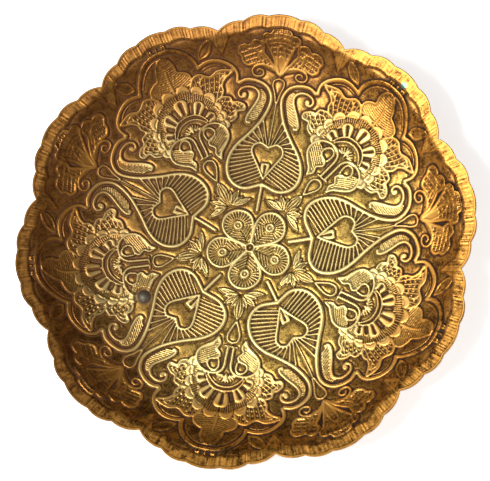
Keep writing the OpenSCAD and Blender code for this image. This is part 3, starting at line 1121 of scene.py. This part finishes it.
dark_iron, tree, shader, place = start_material("dark_oxidised_rivet")
crust = add(tree, "ShaderNodeTexNoise", {"Vector": place, "Scale": 900.0, "Detail": 4.0}).outputs["Fac"]
green = add(tree, "ShaderNodeMapRange", {
    "Value": crust, "From Min": 0.6, "From Max": 0.7}).outputs["Result"]
tone = add(tree, "ShaderNodeMix", {
    0: green, 6: colour("#5d5345"), 7: colour("#6d7866")}, data_type="RGBA").outputs[2]
tree.links.new(tone, shader.inputs["Base Color"])
shader.inputs["Metallic"].default_value = 0.6
rough = add(tree, "ShaderNodeMapRange", {
    "Value": crust, "To Min": 0.4, "To Max": 0.65}).outputs["Result"]
tree.links.new(rough, shader.inputs["Roughness"])
bump = add(tree, "ShaderNodeBump", {"Height": crust, "Strength": 0.35, "Distance": 0.00015})
tree.links.new(bump.outputs["Normal"], shader.inputs["Normal"])
for name, node in nodes.items():
    if name == "tray":
        continue
    finish = dark_iron if name == "rivet_1" else turned_brass
    for slot in node.material_slots:
        slot.link = "OBJECT"
        slot.material = finish
    print(name, "gets", finish.name)

# %% [markdown]
# ## Floor, light and camera
#
# The floor is a plain pale sheet, a tenth of a millimetre below the feet. Metal shows what it
# reflects, so the light matters more than the colour. A soft key light stands high on one side
# and a weak fill stands low on the other. The room itself grows from dim to pale across the
# tray, so one side of the wall is lit and the other stays dark. The camera looks almost straight
# down, twelve degrees off the vertical.

# %% Floor
FLOOR_GAP = 0.1
FLOOR_HALF = 3
bm = bmesh.new()
floor_place = Matrix.Translation((0, 0, -FLOOR_GAP * MM))
bmesh.ops.create_grid(bm, x_segments=1, y_segments=1, size=FLOOR_HALF, matrix=floor_place)
mesh = bpy.data.meshes.new("floor")
bm.to_mesh(mesh)
bm.free()
floor = new_object("floor", mesh)
paper, tree, shader, place = start_material("pale_paper")
shader.inputs["Base Color"].default_value = colour("#f4f3f1")
shader.inputs["Roughness"].default_value = 0.9
shader.inputs["Emission Color"].default_value = colour("#ffffff")
shader.inputs["Emission Strength"].default_value = 0.7
mesh.materials.append(paper)
print("floor is", 2 * FLOOR_HALF, "m wide")

# %% Camera
CAMERA_TURN = radians(-50.7)
CAMERA_RISE = radians(78)
CAMERA_FAR = 2.5
PICTURE_RIGHT = radians(9.3)
FRAME_W = 0.2638
AIM_SHIFT = (-0.0025, 0.0035)



def toward(heading, rise):
    """The way that points at a heading and rises by an angle, both in radians."""
    return Vector((cos(heading) * cos(rise), sin(heading) * cos(rise), sin(rise)))


centre = Vector((0, 0, FLOOR_Z * MM))
back = toward(CAMERA_TURN, CAMERA_RISE)
right = toward(PICTURE_RIGHT, 0)
right = (right - back * right.dot(back)).normalized()
up = back.cross(right)
aim = centre + right * AIM_SHIFT[0] + up * AIM_SHIFT[1]
camera_data = bpy.data.cameras.new("camera")
camera_data.lens = camera_data.sensor_width * CAMERA_FAR / FRAME_W
camera_data.clip_start = 0.01
camera = new_object("camera", camera_data)
turned = Matrix((right, up, back)).transposed().to_4x4()
camera.matrix_world = Matrix.Translation(aim + back * CAMERA_FAR) @ turned
bpy.context.scene.camera = camera
print("lens", round(camera_data.lens, 1), "mm")

# %% Light
PALE_SIDE = radians(225)


def soft_box(name, heading, rise, far, size, watts):
    """An area light that faces the tray, at a heading from the camera's right."""
    data = bpy.data.lights.new(name, "AREA")
    data.shape = "RECTANGLE"
    data.size, data.size_y = size
    data.energy = watts
    light = new_object(name, data)
    away = toward(radians(heading) + PICTURE_RIGHT, radians(rise))
    turned = away.to_track_quat("Z", "Y").to_matrix().to_4x4()
    light.matrix_world = Matrix.Translation(centre + away * far) @ turned


soft_box("key", 205, 66, 1.1, (0.38, 0.38), 12)
soft_box("fill", 350, 35, 1.2, (0.8, 0.8), 1.0)
world = bpy.data.worlds.new("studio")
world.use_nodes = True
tree = world.node_tree
sky = add(tree, "ShaderNodeTexCoord").outputs["Generated"]
facing = add(tree, "ShaderNodeVectorMath", {
    0: sky, 1: toward(PALE_SIDE + PICTURE_RIGHT, 0)}, operation="DOT_PRODUCT").outputs["Value"]
glow = add(tree, "ShaderNodeMapRange", {
    "Value": facing, "From Min": -0.1, "From Max": 0.3, "To Min": 0.07, "To Max": 0.62}).outputs["Result"]
tree.links.new(glow, tree.nodes["Background"].inputs["Strength"])
tree.nodes["Background"].inputs["Color"].default_value = colour("#ffffff")
bpy.context.scene.world = world
bpy.context.scene.view_settings.view_transform = "Standard"

# %% [markdown]
# ## Sizes, and the end
#
# The looks must not change the object's size.
